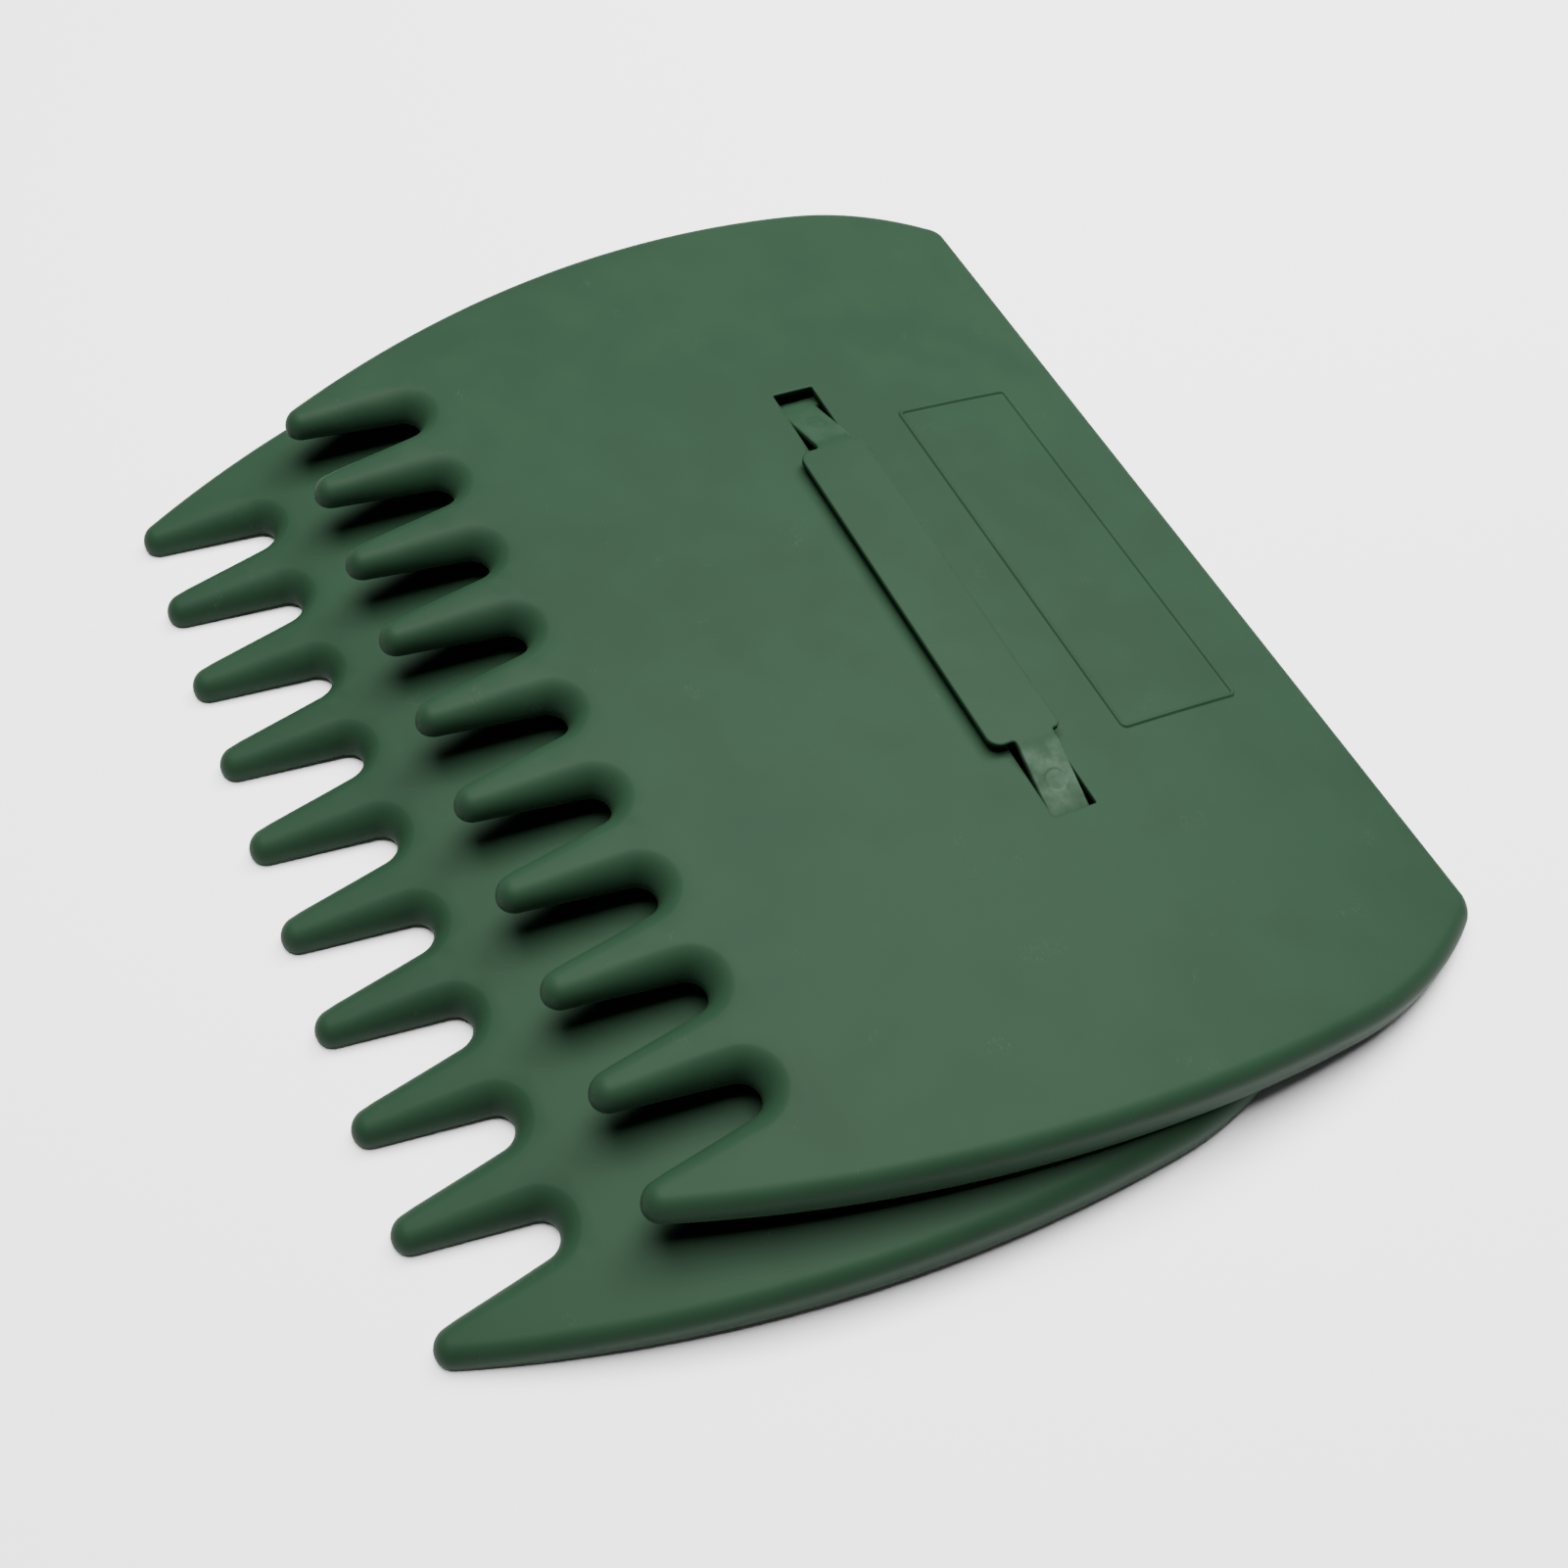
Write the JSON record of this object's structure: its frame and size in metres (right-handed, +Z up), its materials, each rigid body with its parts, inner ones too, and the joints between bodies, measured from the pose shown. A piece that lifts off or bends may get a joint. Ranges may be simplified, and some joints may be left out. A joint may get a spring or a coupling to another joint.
{
  "type": "leaf grabber hands",
  "caption": "Pair of toothed hand scoops for gathering leaves, each a thin hollow moulding with a pull-up hand strap; stored one lying on the other.",
  "frame": {"origin": "middle of the lower scoop's rear rim, on the level surface that the pair rests on", "axes": "+X along the row of teeth, +Y from the teeth to the rear edge, +Z up"},
  "size_m": [0.3623, 0.3043, 0.0339],
  "materials": {
    "scoop_plastic": "satin",
    "strap_plastic": "satin"
  },
  "bodies": {
    "lower_scoop": {"lower_scoop": "scoop_plastic"},
    "lower_strap_band": {"lower_strap_band": "strap_plastic"},
    "lower_strap_left_tab": {"lower_strap_left_tab": "strap_plastic"},
    "lower_strap_right_tab": {"lower_strap_right_tab": "strap_plastic"},
    "upper_scoop": {"upper_scoop": "scoop_plastic"},
    "upper_strap_band": {"upper_strap_band": "strap_plastic"},
    "upper_strap_left_tab": {"upper_strap_left_tab": "strap_plastic"},
    "upper_strap_right_tab": {"upper_strap_right_tab": "strap_plastic"}
  },
  "joints": [
    {"name": "upper_scoop_lift_off", "type": "slide", "parent": "lower_scoop", "child": "upper_scoop", "axis": [0, 0, 1], "range_m": [0, 0.06]},
    {"name": "lower_strap_lift", "type": "slide", "parent": "lower_scoop", "child": "lower_strap_band", "axis": [0, 0, 1], "range_m": [0, 0.007]},
    {"name": "lower_strap_left_fold", "type": "hinge", "parent": "lower_strap_band", "child": "lower_strap_left_tab", "pos_m": [-0.0605, -0.0918, 0.0195], "axis": [0, -1, 0], "range_deg": [0, 21.3]},
    {"name": "lower_strap_right_fold", "type": "hinge", "parent": "lower_strap_band", "child": "lower_strap_right_tab", "pos_m": [0.0665, -0.0918, 0.0195], "axis": [0, 1, 0], "range_deg": [0, 21.3]},
    {"name": "upper_strap_lift", "type": "slide", "parent": "upper_scoop", "child": "upper_strap_band", "axis": [-0.0015, 0.1065, 0.9943], "range_m": [0, 0.016]},
    {"name": "upper_strap_left_fold", "type": "hinge", "parent": "upper_strap_band", "child": "upper_strap_left_tab", "pos_m": [-0.06575, -0.03504, 0.02947], "axis": [0.0139, -0.9942, 0.1065], "range_deg": [0, 48.6]},
    {"name": "upper_strap_right_fold", "type": "hinge", "parent": "upper_strap_band", "child": "upper_strap_right_tab", "pos_m": [0.06124, -0.03326, 0.02947], "axis": [-0.0139, 0.9942, -0.1065], "range_deg": [0, 48.6]}
  ],
  "couplings": [
    {"joint": "lower_strap_left_fold", "follows": "lower_strap_lift", "rad_per_m": 53},
    {"joint": "lower_strap_right_fold", "follows": "lower_strap_lift", "rad_per_m": 53},
    {"joint": "upper_strap_left_fold", "follows": "upper_strap_lift", "rad_per_m": 53},
    {"joint": "upper_strap_right_fold", "follows": "upper_strap_lift", "rad_per_m": 53}
  ]
}
